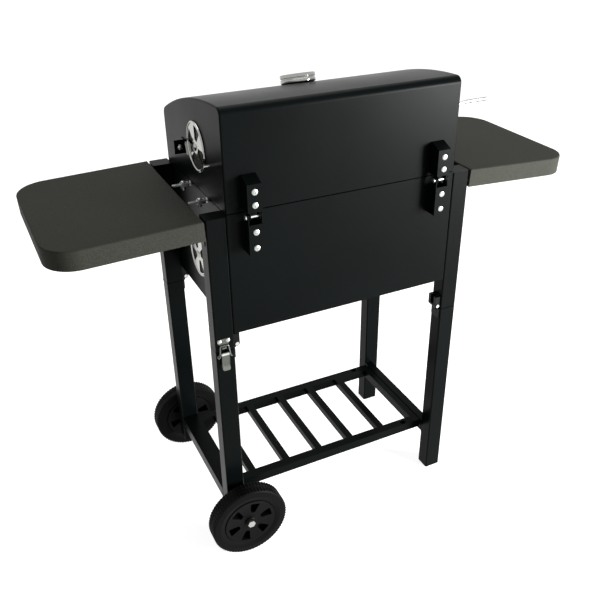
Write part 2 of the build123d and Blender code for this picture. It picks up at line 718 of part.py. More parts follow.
# Zinc catches bridge the space between the firebox's ends and the tables:
# a nut and rod at the wall, a fork with a bolt through it, and a flat tongue.
strap_z = 807.5
strap_ys = (78, -22)
strap_nut_radius = 6
strap_rod_radius = 3
fork_start_x = 256
fork_end_x = 272
fork_width = 11
fork_height = 9
tongue_end_x = leg_outer_x + 1
tongue_width = 7
tongue_height = 4
strap_bolt_x = 267
strap_bolt_drop = 12
with BuildPart() as straps:
    for side_x in (-1, 1):
        for strap_y in strap_ys:
            with BuildSketch(damper_plane(side_x * leg_inner_x, strap_y, strap_z)):
                Circle(strap_nut_radius)
            extrude(amount=side_x * 2.5)
            with BuildSketch(damper_plane(side_x * leg_inner_x, strap_y, strap_z)):
                Circle(strap_rod_radius)
            extrude(amount=side_x * (fork_start_x - leg_inner_x + 1))
            with BuildSketch(damper_plane(side_x * fork_start_x, strap_y, strap_z)):
                RectangleRounded(fork_width, fork_height, 1.5)
            extrude(amount=side_x * (fork_end_x - fork_start_x))
            with BuildSketch(damper_plane(side_x * fork_end_x, strap_y, strap_z)):
                Rectangle(tongue_width, tongue_height)
            extrude(amount=side_x * (tongue_end_x - fork_end_x))
            with BuildSketch(Plane.XY.offset(strap_z - strap_bolt_drop)):
                with Locations((side_x * strap_bolt_x, strap_y)):
                    Circle(strap_rod_radius)
            extrude(amount=strap_bolt_drop)
save(straps, "table_support_straps")

# ---- Toggle latches on the wheel-side legs ---------------------------------
latch_x = 275
latch_sheet = 2
catch_z = 558
catch_width = 31
catch_height = 15
lobe_radius = 5
lobe_x = 9
lobe_height = 3
hook_width = 12
hook_bottom_z = 541
hook_lip_height = 4
hook_lip = 2.5            # how far the lip stands out over the bail's bar
lever_half_width = 8.5
lever_top_z = 522
lever_length = 42
lever_y = 6               # lever's pivot, out from the leg's face
lever_eye = 3.5
lever_pin_radius = 2
lever_lug_x = 11
bail_pivot_z = 516
bail_pivot_y = 7
bail_top_z = 548.5
bail_half_width = 14
bail_wire_radius = 1.5
bail_ear_x = 17
ear_sheet = 2

with BuildPart() as catches:
    for side_y in rows.values():
        with BuildSketch(Plane.XZ.offset(-side_y * rear_y)):
            with Locations((latch_x, catch_z)):
                RectangleRounded(catch_width, catch_height, 4)
            with Locations((latch_x, (hook_bottom_z + catch_z) / 2)):
                Rectangle(hook_width, catch_z - hook_bottom_z)
        extrude(amount=-side_y * latch_sheet)
        with BuildSketch(Plane.XZ.offset(-side_y * (rear_y + latch_sheet))):
            with Locations((latch_x, hook_bottom_z + hook_lip_height / 2)):
                Rectangle(hook_width, hook_lip_height)
        extrude(amount=-side_y * hook_lip)
        with BuildSketch(Plane.XZ.offset(-side_y * (rear_y + latch_sheet))):
            with Locations((latch_x - lobe_x, catch_z), (latch_x + lobe_x, catch_z)):
                Circle(lobe_radius)
        extrude(amount=-side_y * lobe_height)
save(catches, "latch_catches")

for row, side_y in rows.items():
    face = side_y * rear_y
    with BuildPart() as latch_base:
        with BuildSketch(Plane.XZ.offset(-face)):
            with Locations((latch_x, lever_top_z + 2 - lever_length / 2)):
                RectangleRounded(2 * lever_lug_x + ear_sheet, lever_length, 3)
            with Locations((latch_x, bail_pivot_z)):
                Rectangle(2 * bail_ear_x + ear_sheet, 9)
        extrude(amount=-side_y * latch_sheet)
        for lug in (-1, 1):
            with BuildSketch(Plane.YZ.offset(latch_x + lug * lever_lug_x - ear_sheet / 2)):
                with Locations((side_y * (rear_y + lever_y / 2), lever_top_z)):
                    Rectangle(lever_y, 7)
                with Locations((side_y * (rear_y + lever_y), lever_top_z)):
                    Circle(lever_eye)
            extrude(amount=ear_sheet)
            with BuildSketch(Plane.YZ.offset(latch_x + lug * bail_ear_x - ear_sheet / 2)):
                with Locations((side_y * (rear_y + bail_pivot_y / 2), bail_pivot_z)):
                    Rectangle(bail_pivot_y, 7)
                with Locations((side_y * (rear_y + bail_pivot_y), bail_pivot_z)):
                    Circle(lever_eye)
                    Circle(bail_wire_radius + running_gap, mode=Mode.SUBTRACT)
            extrude(amount=ear_sheet)
        with BuildSketch(Plane.YZ.offset(latch_x - lever_lug_x)):
            with Locations((side_y * (rear_y + lever_y), lever_top_z)):
                Circle(lever_pin_radius)
        extrude(amount=2 * lever_lug_x)
    save(latch_base, f"latch_base_{row}")

    with BuildPart() as lever:
        with BuildSketch(Plane.YZ.offset(latch_x - lever_half_width)):
            with Locations((side_y * (rear_y + lever_y), lever_top_z)):
                Circle(lever_eye)
            with BuildLine():
                Polyline(
                    (side_y * (rear_y + lever_y), lever_top_z + lever_eye),
                    (side_y * (rear_y + lever_y + lever_eye), lever_top_z),
                    (side_y * (rear_y + lever_y + 3), lever_top_z - lever_length + 12),
                    (side_y * (rear_y + lever_y + 6), lever_top_z - lever_length),
                    (side_y * (rear_y + lever_y + 4), lever_top_z - lever_length),
                    (side_y * (rear_y + lever_y), lever_top_z - lever_length + 10),
                    close=True,
                )
            make_face()
            with Locations((side_y * (rear_y + lever_y), lever_top_z)):
                Circle(lever_pin_radius + running_gap, mode=Mode.SUBTRACT)
        extrude(amount=2 * lever_half_width)
    save(lever, f"latch_lever_{row}")

    bail_y = side_y * (rear_y + latch_sheet + bail_wire_radius + 0.4)
    pivot_y = side_y * (rear_y + bail_pivot_y)
    bail_points = [
        (latch_x - bail_ear_x - 2, pivot_y, bail_pivot_z),
        (latch_x - bail_half_width, pivot_y, bail_pivot_z),
        (latch_x - bail_half_width, bail_y, bail_top_z),
        (latch_x + bail_half_width, bail_y, bail_top_z),
        (latch_x + bail_half_width, pivot_y, bail_pivot_z),
        (latch_x + bail_ear_x + 2, pivot_y, bail_pivot_z),
    ]
    with BuildPart() as bail:
        with BuildLine() as bail_path:
            FilletPolyline(*bail_points, radius=1.9)
        with BuildSketch(Plane(origin=bail_points[0], z_dir=(1, 0, 0))):
            Circle(bail_wire_radius)
        sweep(path=bail_path.line, transition=Transition.RIGHT)
    save(bail, f"latch_bail_{row}")

# ---- Wheels on stub axles --------------------------------------------------
rim_radius = 60
disc_thickness = 34
hub_radius = 13
web_thickness = 4         # left between the pockets in the disc's two faces
pocket_count = 6
pocket_phase = 46
pocket_middle = 38.5
pocket_outer_width = 20
pocket_length = 25
pocket_taper = 75         # angle between a pocket's sides and its outer edge
bore_radius = axle_radius + running_gap
nut_size = 9

for row, side_y in rows.items():
    with BuildPart() as tyre:
        with BuildSketch(Plane.XZ.offset(-side_y * wheel_y - wheel_width / 2)):
            with Locations((wheel_x, wheel_radius)):
                Circle(wheel_radius)
                Circle(rim_radius, mode=Mode.SUBTRACT)
        extrude(amount=wheel_width)
        shoulders = tyre.edges().filter_by(GeomType.CIRCLE).sort_by(SortBy.LENGTH)[-2:]
        fillet(shoulders, 3)
    save(tyre, f"wheel_tyre_{row}")

    with BuildPart() as wheel_disc:
        with BuildSketch(Plane.XZ.offset(-side_y * wheel_y - disc_thickness / 2)):
            with Locations((wheel_x, wheel_radius)):
                Circle(rim_radius)
        extrude(amount=disc_thickness)
        for way in (-1, 1):
            with BuildSketch(Plane.XZ.offset(-side_y * wheel_y + way * web_thickness / 2)) as pockets:
                with Locations((wheel_x, wheel_radius)):
                    with PolarLocations(pocket_middle, pocket_count, start_angle=pocket_phase):
                        Trapezoid(pocket_outer_width, pocket_length, pocket_taper, rotation=90)
                fillet(pockets.vertices(), 2.5)
            extrude(amount=way * disc_thickness, mode=Mode.SUBTRACT)
        with BuildSketch(Plane.XZ.offset(-side_y * wheel_y - wheel_width / 2 - 1)):
            with Locations((wheel_x, wheel_radius)):
                Circle(hub_radius)
        extrude(amount=wheel_width + 2)
        with BuildSketch(Plane.XZ.offset(-side_y * wheel_y - wheel_width)):
            with Locations((wheel_x, wheel_radius)):
                Circle(bore_radius)
        extrude(amount=2 * wheel_width, mode=Mode.SUBTRACT)
    save(wheel_disc, f"wheel_disc_{row}")

    axle_start = side_y * (leg_inner_y - 4)
    axle_reach = wheel_y + wheel_width / 2 + 2 - leg_inner_y + 4
    with BuildPart() as axle:
        with BuildSketch(Plane.XZ.offset(-axle_start)):
            with Locations((wheel_x, wheel_radius)):
                Circle(axle_radius)
        extrude(amount=-side_y * axle_reach)
        with BuildSketch(Plane.XZ.offset(-side_y * (rear_y + 0.2))):
            with Locations((wheel_x, wheel_radius)):
                RegularPolygon(nut_size + 2, 6)
        extrude(amount=-side_y * 8)
        with BuildSketch(Plane.XZ.offset(-side_y * (wheel_y + wheel_width / 2 + 1.4))):
            with Locations((wheel_x, wheel_radius)):
                RegularPolygon(nut_size, 6)
        extrude(amount=-side_y * 4)
    save(axle, f"wheel_axle_{row}")

# ---- Bottom shelf: lifts off the studs on the four legs --------------------
slat_width = 18
slat_height = 16
slat_xs = (207, 118.6, 31, -56.4, -145.4)
rail_reach = 138          # half width over the long rails
rail_middle = rail_reach - rail_size / 2
end_bar_width = 16
end_bar_x = -(leg_inner_x - 2 - end_bar_width / 2)
rail_bottom_z = shelf_top_z - rail_size
slot_x = -205

with BuildPart() as shelf:
    rail_start = end_bar_x - end_bar_width / 2
    with BuildSketch(Plane.YZ.offset(rail_start)):
        rail_centre_z = rail_bottom_z + rail_size / 2
        with Locations((rail_middle, rail_centre_z), (-rail_middle, rail_centre_z)):
            Rectangle(rail_size, rail_size)
            Rectangle(rail_size - 2 * tube_wall, rail_size - 2 * tube_wall, mode=Mode.SUBTRACT)
    extrude(amount=leg_inner_x - rail_start)
    with BuildSketch(Plane.XY.offset(rail_bottom_z)):
        with Locations((end_bar_x, 0)):
            Rectangle(end_bar_width, 2 * rail_reach)
    extrude(amount=rail_size)
    with BuildSketch(Plane.XY.offset(rail_bottom_z)):
        with Locations((slot_x, rail_middle + 2), (slot_x, -rail_middle - 2)):
            RectangleRounded(14, 12, 5)
    extrude(amount=rail_size, mode=Mode.SUBTRACT)
save(shelf, "shelf_frame")

slat_reach = rail_reach - rail_size
with BuildPart() as slats:
    with BuildSketch(Plane.XZ.offset(-slat_reach)):
        for slat_x in slat_xs:
            with Locations((slat_x, shelf_top_z - slat_height / 2)):
                Rectangle(slat_width, slat_height)
                inner_width, inner_height = slat_width - 2 * tube_wall, slat_height - 2 * tube_wall
                Rectangle(inner_width, inner_height, mode=Mode.SUBTRACT)
    extrude(amount=2 * slat_reach)
save(slats, "shelf_slats")

side_rails = {
    "wheel": (leg_x, leg_width, wheel_side_rail_bottom_z),
    "foot": (-(leg_inner_x + leg_width / 4), leg_width / 2, foot_side_rail_bottom_z),
}
for end, (rail_x, rail_width, bottom_z) in side_rails.items():
    rail_height = shelf_top_z + 1 - bottom_z
    with BuildPart() as side_rail:
        with BuildSketch(Plane.XZ.offset(-side_rail_reach)):
            with Locations((rail_x, bottom_z + rail_height / 2)):
                Rectangle(rail_width, rail_height)
                Rectangle(rail_width - 2 * tube_wall, rail_height - 2 * tube_wall, mode=Mode.SUBTRACT)
        extrude(amount=2 * side_rail_reach)
    save(side_rail, f"shelf_side_rail_{end}_side")

# ---- Fuel door at the front ------------------------------------------------
door_gap = 0.5
door_thickness = 2
door_outer_y = body_front_y - door_gap - door_thickness
with BuildPart() as fuel_door:
    with BuildSketch(Plane.XZ.offset(-body_front_y + door_gap)):
        with Locations((0, door_bottom_z + door_height / 2)):
            RectangleRounded(door_width, door_height, 4)
    extrude(amount=door_thickness)
    for door_hinge_x in (-door_hinge_middle, door_hinge_middle):
        with BuildSketch(Plane.YZ.offset(door_hinge_x - door_knuckle_length / 2)):
            with Locations((door_hinge_y, door_hinge_z)):
                Circle(door_knuckle_radius)
            with Locations((door_outer_y + door_thickness / 2, (door_hinge_z + door_bottom_z + 1) / 2)):
                Rectangle(door_thickness, door_bottom_z + 1 - door_hinge_z)
            with Locations((door_hinge_y, door_hinge_z)):
                Circle(door_pin_radius + running_gap, mode=Mode.SUBTRACT)
        extrude(amount=door_knuckle_length)
save(fuel_door, "fuel_door")

door_handle_z = door_bottom_z + 82
with BuildPart() as door_handle:
    with BuildSketch(Plane.XZ.offset(-door_outer_y)):
        with Locations((-35, door_handle_z), (35, door_handle_z)):
            Circle(4)
    extrude(amount=22)
    with BuildSketch(Plane.YZ.offset(-45)):
        with Locations((door_outer_y - 24, door_handle_z)):
            Circle(6)
    extrude(amount=90)
save(door_handle, "fuel_door_handle")

# ---- Cooking grates, and the charcoal tray below them ----------------------
grate_length = 246
grate_half_width = body_depth / 2 - sheet - 3
bar_size = 5
bar_pitch = 17
bar_count = 14
grate_x = 124.5
grate_border = 6
for end, side_x in (("wheel", 1), ("foot", -1)):
    with BuildPart() as grate:
        with BuildSketch(Plane.XY.offset(grate_ledge_z)):
            with Locations((side_x * grate_x, body_y)):
                Rectangle(grate_length, 2 * grate_half_width)
                inner_half_width = grate_half_width - grate_border
                Rectangle(grate_length - 2 * grate_border, 2 * inner_half_width, mode=Mode.SUBTRACT)
                with GridLocations(bar_pitch, 1, bar_count - 1, 1):
                    Rectangle(bar_size, 2 * grate_half_width - 2)
                Rectangle(grate_length - 2, bar_size)
        extrude(amount=bar_size)
    save(grate, f"cooking_grate_{end}_side")

tray_length = 470
tray_half_width = body_depth / 2 - sheet - 4
tray_height = 45
with BuildPart() as tray:
    with BuildSketch(Plane.XY.offset(tray_ledge_z)):
        with Locations((0, body_y)):
            Rectangle(tray_length, 2 * tray_half_width)
    extrude(amount=tray_height)
    tray_mouth = tray.faces().sort_by(Axis.Z)[-1]
    offset(amount=-sheet, openings=tray_mouth)
    with BuildSketch(Plane.XY.offset(tray_ledge_z - 1)):
        with Locations((0, body_y)):
            with GridLocations(60, 60, 7, 5):
                SlotOverall(34, 8)
    extrude(amount=4, mode=Mode.SUBTRACT)
save(tray, "charcoal_tray")
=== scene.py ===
import bpy
from math import cos, pi, radians, sin
from mathutils import Matrix, Vector


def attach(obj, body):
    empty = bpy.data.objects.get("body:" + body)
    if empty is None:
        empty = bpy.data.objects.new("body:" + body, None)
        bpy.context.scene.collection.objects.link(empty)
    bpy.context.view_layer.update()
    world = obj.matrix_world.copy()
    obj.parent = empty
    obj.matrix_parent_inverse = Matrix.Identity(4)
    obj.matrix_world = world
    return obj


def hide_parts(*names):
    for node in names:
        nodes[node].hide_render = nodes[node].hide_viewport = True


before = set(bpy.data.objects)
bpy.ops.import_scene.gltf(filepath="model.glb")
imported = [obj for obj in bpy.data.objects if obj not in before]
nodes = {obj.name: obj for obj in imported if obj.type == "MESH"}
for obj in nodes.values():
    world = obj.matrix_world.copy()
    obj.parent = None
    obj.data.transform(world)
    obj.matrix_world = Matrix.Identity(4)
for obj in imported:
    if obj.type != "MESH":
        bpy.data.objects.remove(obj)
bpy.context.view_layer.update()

# Camera: stands behind the cart's wheel end, a little above the lid, looking
# down across the back panel. The shift keeps the cart off the middle.
eye = Vector((0.6752, 1.3849, 1.3667))
camera_right = Vector((-0.891, 0.454, 0.0))
camera_back = Vector((0.391, 0.767, 0.509)).normalized()
camera_up = camera_back.cross(camera_right).normalized()
camera_right = camera_up.cross(camera_back)
lens_data = bpy.data.cameras.new("camera")
lens_data.sensor_width = 36
lens_data.lens = 45.8
lens_data.shift_x = -0.0387
lens_data.shift_y = 0.0204
camera = bpy.data.objects.new("camera", lens_data)
bpy.context.collection.objects.link(camera)
turn = Matrix((camera_right, camera_up, camera_back)).transposed().to_4x4()
camera.matrix_world = Matrix.Translation(eye) @ turn
bpy.context.scene.camera = camera


# Studio: a pale paper floor that runs out of sight under a white surround. One
# large softbox hangs overhead, and a second stands behind the foot end and
# grazes the back of the cart.
pure_white, floor_shade = "#ffffff", "#c8c8c5"
floor_size, floor_glow, surround_fill = 80, 0.85, 0.3
softboxes = {
    # place, target, size in metres, power in watts
    "softbox overhead": ((-0.4, -0.8, 3.2), (0, 0, 0.6), 2.4, 40),
    "softbox foot end": ((-2.15, 2.25, 0.8), (-0.25, 0.15, 0.85), 1.1, 310),
}


def linear(hex_colour):
    """An sRGB hex colour as the linear RGBA that a shader socket takes."""
    parts = [int(hex_colour[i:i + 2], 16) / 255 for i in (1, 3, 5)]
    return [p / 12.92 if p <= 0.04045 else ((p + 0.055) / 1.055) ** 2.4 for p in parts] + [1.0]


def add_node(tree, kind, settings=None, links=None):
    """A node with its sockets or properties set, and its inputs linked from other sockets."""
    node = tree.nodes.new(kind)
    for name, value in (settings or {}).items():
        if name in node.inputs:
            node.inputs[name].default_value = value
        else:
            setattr(node, name, value)
    for name, source in (links or {}).items():
        tree.links.new(source, node.inputs[name])
    return node


def new_material(name):
    """An empty material with its output node."""
    material = bpy.data.materials.new(name)
    material.use_nodes = True
    material.node_tree.nodes.clear()
    output = material.node_tree.nodes.new("ShaderNodeOutputMaterial")
    return material, material.node_tree, output


def seen_directly(tree):
    """1 for the rays that show the surround as white: straight, mirrored or through glass."""
    path = add_node(tree, "ShaderNodeLightPath")
    straight = path.outputs["Is Camera Ray"]
    mirrored_ray = path.outputs["Is Glossy Ray"]
    through_glass = path.outputs["Is Transmission Ray"]
    either = add_node(
        tree, "ShaderNodeMath", {"operation": "MAXIMUM"}, {0: straight, 1: mirrored_ray}
    )
    any_of_them = add_node(
        tree, "ShaderNodeMath", {"operation": "MAXIMUM"}, {0: either.outputs[0], 1: through_glass}
    )
    return any_of_them.outputs[0]


paper, tree, output = new_material("seamless paper backdrop")
matt = add_node(tree, "ShaderNodeBsdfDiffuse", {"Color": linear(floor_shade)})
glow = add_node(tree, "ShaderNodeEmission", {"Color": linear(pure_white), "Strength": floor_glow})
lit = add_node(tree, "ShaderNodeAddShader", None, {0: matt.outputs[0], 1: glow.outputs[0]})
paper_mix = add_node(
    tree,
    "ShaderNodeMixShader",
    None,
    {0: seen_directly(tree), 1: matt.outputs[0], 2: lit.outputs[0]},
)
tree.links.new(paper_mix.outputs[0], output.inputs["Surface"])
bpy.ops.object.select_all(action="DESELECT")
bpy.ops.mesh.primitive_plane_add(size=floor_size)
floor = bpy.context.object
floor.name = "floor"
floor.data.materials.append(paper)

world = bpy.data.worlds.new("white studio")
bpy.context.scene.world = world
world.use_nodes = True
tree = world.node_tree
tree.nodes.clear()
soft = add_node(
    tree, "ShaderNodeBackground", {"Color": linear(pure_white), "Strength": surround_fill}
)
white = add_node(tree, "ShaderNodeBackground", {"Color": linear(pure_white), "Strength": 1.0})
surround = add_node(
    tree,
    "ShaderNodeMixShader",
    None,
    {0: seen_directly(tree), 1: soft.outputs[0], 2: white.outputs[0]},
)
add_node(tree, "ShaderNodeOutputWorld", None, {"Surface": surround.outputs[0]})

for name, (place, target, size, power) in softboxes.items():
    lamp = bpy.data.lights.new(name, "AREA")
    lamp.size = size
    lamp.energy = power
    box = bpy.data.objects.new(name, lamp)
    bpy.context.collection.objects.link(box)
    box.location = place
    box.rotation_euler = (Vector(target) - Vector(place)).to_track_quat("-Z", "Y").to_euler()
bpy.context.scene.view_settings.view_transform = "Standard"


# Legs, body, lid, hinge brackets and shelf: cut, folded and welded mild-steel
# tube and sheet. Baked satin black powder gives a deep, slightly uneven sheen
# with a faint orange peel.
rows = {"rear": 1, "front": -1}  # each row's side of the frame along y
ends = {"wheel": 1, "foot": -1}  # each end's side along x
MIX_A, MIX_B, MIX_RESULT = 6, 7, 2  # the colour sockets of a mix node


def skin(name, colour, roughness, gloss_level, peel_mm, peel_depth, speckle=0.0):
    """A painted, enamelled or moulded skin: orange peel, clouds in tone and gloss, pale grit."""
    cloud_mm, cloud_tone = 111, 1.35
    smoother, rougher = 0.05, 0.06
    peel_height = 0.0004
    grit_mm, grit_colour, grit_from, grit_to = 1.11, "#6b6a64", 0.45, 0.7
    material, tree, output = new_material(name)
    place = add_node(tree, "ShaderNodeTexCoord").outputs["Object"]
    cloud = add_node(
        tree, "ShaderNodeTexNoise", {"Scale": 1000 / cloud_mm, "Detail": 4.0}, {"Vector": place}
    )
    tone = add_node(tree, "ShaderNodeMix", {"data_type": "RGBA"}, {0: cloud.outputs["Fac"]})
    tone.inputs[MIX_A].default_value = linear(colour)
    tone.inputs[MIX_B].default_value = [c * cloud_tone for c in linear(colour)[:3]] + [1.0]
    gloss = add_node(
        tree,
        "ShaderNodeMapRange",
        {"To Min": roughness - smoother, "To Max": roughness + rougher},
        {"Value": cloud.outputs["Fac"]},
    )
    peel = add_node(
        tree, "ShaderNodeTexNoise", {"Scale": 1000 / peel_mm, "Detail": 2.0}, {"Vector": place}
    )
    bump = add_node(
        tree,
        "ShaderNodeBump",
        {"Strength": peel_depth, "Distance": peel_height},
        {"Height": peel.outputs["Fac"]},
    )
    shader = add_node(
        tree,
        "ShaderNodeBsdfPrincipled",
        {"IOR": 1.5, "Specular IOR Level": gloss_level},
        {
            "Base Color": tone.outputs[MIX_RESULT],
            "Roughness": gloss.outputs["Result"],
            "Normal": bump.outputs["Normal"],
        },
    )
    if speckle:
        grit = add_node(
            tree, "ShaderNodeTexNoise", {"Scale": 1000 / grit_mm, "Detail": 1.0}, {"Vector": place}
        )
        fleck = add_node(
            tree,
            "ShaderNodeMapRange",
            {"From Min": grit_from, "From Max": grit_to, "To Max": speckle},
            {"Value": grit.outputs["Fac"]},
        )
        gritty = add_node(
            tree,
            "ShaderNodeMix",
            {"data_type": "RGBA"},
            {0: fleck.outputs["Result"], MIX_A: tone.outputs[MIX_RESULT]},
        )
        gritty.inputs[MIX_B].default_value = linear(grit_colour)
        tree.links.new(gritty.outputs[MIX_RESULT], shader.inputs["Base Color"])
    tree.links.new(shader.outputs[0], output.inputs["Surface"])
    return material


def dress(material, *names):
    """Gives a finish to parts of the frame that keep their own shape."""
    for name in names:
        part = nodes[name]
        part.data.materials.clear()
        part.data.materials.append(material)


satin_coat = skin(
    "satin black powder coat on steel",
    "#040606",
    roughness=0.3,
    gloss_level=0.035,
    peel_mm=2.2,
    peel_depth=0.1,
)
dress(satin_coat, "firebox", "firebox_ledges", "fuel_door", "lid", "lid_side_plate")
dress(satin_coat, "lid_handle_brackets", "lid_hinge_upper_brackets", "lid_hinge_lower_brackets")
dress(satin_coat, "shelf_frame", "shelf_slats")
for end in ends:
    dress(satin_coat, f"shelf_side_rail_{end}_side")
    for row in rows:
        dress(satin_coat, f"upper_leg_{row}_{end}_side", f"lower_leg_{row}_{end}_side")


# Leg hinges and table brackets: pressed from thicker strip and stoved black,
# which shines a little more than the powder coat, but less sharply.
hinge_coat = skin(
    "black stoved hinge steel",
    "#060606",
    roughness=0.35,
    gloss_level=0.1,
    peel_mm=1.6,
    peel_depth=0.2,
)
dress(hinge_coat, "leg_hinge_upper_leaves", "table_hinge_brackets")
for end in ends:
    for row in rows:
        dress(hinge_coat, f"leg_hinge_leaf_{row}_{end}_side")


# Side tables: shallow trays pressed from steel sheet. Their charcoal powder
# has a fine grit in it, which scatters the light and hides finger marks.
table_coat = skin(
    "fine-textured black powder coat",
    "#262722",
    roughness=0.7,
    gloss_level=0.08,
    peel_mm=1.2,
    peel_depth=0.3,
    speckle=0.14,
)
for end in ends:
    dress(table_coat, f"side_table_{end}_side")


# Cooking grates and charcoal tray: steel wire and sheet dipped in black
# vitreous enamel, which fires to a glassy, slightly wavy skin.
enamel = skin(
    "black vitreous enamel",
    "#0b0b0b",
    roughness=0.2,
    gloss_level=0.5,
    peel_mm=3.5,
    peel_depth=0.1,
)
dress(enamel, "charcoal_tray")
for end in ends:
    dress(enamel, f"cooking_grate_{end}_side")


# Grips and warming rack: drawn steel tube and wire, polished and chromed. The
# plate is near a mirror, with faint broad wipe marks.


def plated(name, colour, roughness, cloud_mm):
    """A plated metal, clouded in tone and gloss."""
    duller, smoothest, roughest = 0.8, 0.7, 1.4
    material, tree, output = new_material(name)
    place = add_node(tree, "ShaderNodeTexCoord").outputs["Object"]
    cloud = add_node(
        tree, "ShaderNodeTexNoise", {"Scale": 1000 / cloud_mm, "Detail": 3.0}, {"Vector": place}
    )
    gloss = add_node(
        tree,
        "ShaderNodeMapRange",
        {"To Min": roughness * smoothest, "To Max": roughness * roughest},
        {"Value": cloud.outputs["Fac"]},
    )
    tone = add_node(tree, "ShaderNodeMix", {"data_type": "RGBA"}, {0: cloud.outputs["Fac"]})
    tone.inputs[MIX_A].default_value = linear(colour)
    tone.inputs[MIX_B].default_value = [c * duller for c in linear(colour)[:3]] + [1.0]
    shader = add_node(
        tree,
        "ShaderNodeBsdfPrincipled",
        {"Metallic": 1.0},
        {"Base Color": tone.outputs[MIX_RESULT], "Roughness": gloss.outputs["Result"]},
    )
    tree.links.new(shader.outputs[0], output.inputs["Surface"])
    return material


chrome = plated("bright chrome plate", "#a9aaa6", roughness=0.1, cloud_mm=30)
dress(chrome, "warming_rack", "lid_handle", "fuel_door_handle")


# Pins, straps, latches, axles and the vent's rod: turned, stamped or bent steel
# with a bright zinc plate, which is duller than chrome and softly clouded.
zinc = plated("bright zinc plate", "#b4b6b3", roughness=0.36, cloud_mm=6)
dress(zinc, "leg_hinge_pins", "lid_hinge_pins", "table_support_straps", "lid_damper_rod")
dress(zinc, "latch_catches")
for row in rows:
    dress(zinc, f"wheel_axle_{row}")
    dress(zinc, f"latch_base_{row}", f"latch_lever_{row}", f"latch_bail_{row}")


# Wheels: a blown polyethylene tyre, matt black, with two staggered rows of
# ribs, snapped over a disc of moulded black polypropylene that is a little
# glossier and has six blind pockets in each face.
MM = 0.001  # one millimetre, which outlines and sizes are in from here on
wheel_x, wheel_z, wheel_y = 260 * MM, 88 * MM, 213 * MM
tread_ribs, rib_root, rib_height = 72, 83, 5
rib_outline = ((-2.1, 2.4), (2.1, 2.4), (2.1, 16.4), (-2.1, 16.4))
pockets, pocket_turn, pocket_floor, pocket_reach = 6, radians(46), 2, 20
pocket_outline = ((26, -5), (51.5, -11.5), (51.5, 11.5), (26, 5))


def mirrored(half):
    """An outline of (radius, along) points followed back along its mirror image."""
    return half + [(radius, -along) for radius, along in reversed(half)]


tyre_outline = mirrored([
    (60, -15), (63, -16.5), (68, -17.8), (71, -18.6), (73, -18.8), (75, -18.4),
    (80, -18.4), (84.6, -17.8), (86.4, -16), (86.6, -12.5), (86.6, -2), (87.1, -1),
]) + [(59.9, 0)]
disc_outline = mirrored([
    (6.3, -19), (12, -19), (13, -18), (13.4, -15.2), (16, -14.6),
    (40, -15.4), (53, -16.4), (56, -16.9), (59, -16.9), (59.8, -15.5),
])


def turned(outline, centre, axis, steps):
    """A piece turned on a lathe: a closed outline of (radius, along) points spun round an axis."""
    axis = Vector(axis)
    nearly_upright = abs(axis.z) > 0.9
    across = Vector((1, 0, 0)) if nearly_upright else Vector((0, 0, 1))
    across = (across - axis * across.dot(axis)).normalized()
    bpy.ops.object.select_all(action="DESELECT")
    bpy.ops.mesh.primitive_circle_add(vertices=len(outline))
    piece = bpy.context.object
    for vertex, (radius, along) in zip(piece.data.vertices, outline):
        vertex.co = Vector(centre) + across * radius * MM + axis * along * MM
    bpy.ops.object.mode_set(mode="EDIT")
    bpy.ops.mesh.select_all(action="SELECT")
    bpy.ops.mesh.spin(steps=steps, angle=2 * pi, center=centre, axis=axis, use_auto_merge=True)
    bpy.ops.mesh.select_all(action="SELECT")
    bpy.ops.mesh.remove_doubles(threshold=1e-6)
    bpy.ops.mesh.normals_make_consistent(inside=False)
    bpy.ops.object.mode_set(mode="OBJECT")
    return piece


def plate(corners, depth, rounding=0.0):
    """A flat outline of points, its corners rounded by so many mm, thickened by a vector."""
    bpy.ops.object.select_all(action="DESELECT")
    bpy.ops.mesh.primitive_circle_add(vertices=len(corners), fill_type="NGON")
    piece = bpy.context.object
    for vertex, corner in zip(piece.data.vertices, corners):
        vertex.co = corner
    bpy.ops.object.mode_set(mode="EDIT")
    bpy.ops.mesh.select_all(action="SELECT")
    if rounding:
        bpy.ops.mesh.bevel(offset=rounding * MM, segments=3, affect="VERTICES")
        bpy.ops.mesh.select_all(action="SELECT")
    bpy.ops.mesh.extrude_region_move(TRANSFORM_OT_translate={"value": depth})
    bpy.ops.mesh.select_all(action="SELECT")
    bpy.ops.mesh.normals_make_consistent(inside=False)
    bpy.ops.object.mode_set(mode="OBJECT")
    return piece


def repeat_round(piece, count, centre, axis):
    """Copies of a piece's mesh, evenly round an axis."""
    last_turn = 2 * pi * (count - 1) / count
    bpy.ops.object.select_all(action="DESELECT")
    piece.select_set(True)
    bpy.context.view_layer.objects.active = piece
    bpy.ops.object.mode_set(mode="EDIT")
    bpy.ops.mesh.select_all(action="SELECT")
    bpy.ops.mesh.spin(steps=count - 1, dupli=True, angle=last_turn, center=centre, axis=axis)
    bpy.ops.object.mode_set(mode="OBJECT")


def cut(piece, tool):
    """Takes one solid out of another."""
    bite = piece.modifiers.new("bite", "BOOLEAN")
    bite.operation = "DIFFERENCE"
    bite.solver = "EXACT"
    bite.object = tool
    bpy.ops.object.select_all(action="DESELECT")
    bpy.context.view_layer.objects.active = piece
    bpy.ops.object.modifier_apply(modifier=bite.name)
    bpy.data.objects.remove(tool)


def soften(piece, width_mm, segments):
    """Breaks the sharp edges of a piece."""
    edge = piece.modifiers.new("edge", "BEVEL")
    edge.width = width_mm * MM
    edge.segments = segments
    edge.limit_method = "ANGLE"
    edge.angle_limit = radians(40)
    bpy.ops.object.select_all(action="DESELECT")
    bpy.context.view_layer.objects.active = piece
    bpy.ops.object.modifier_apply(modifier=edge.name)


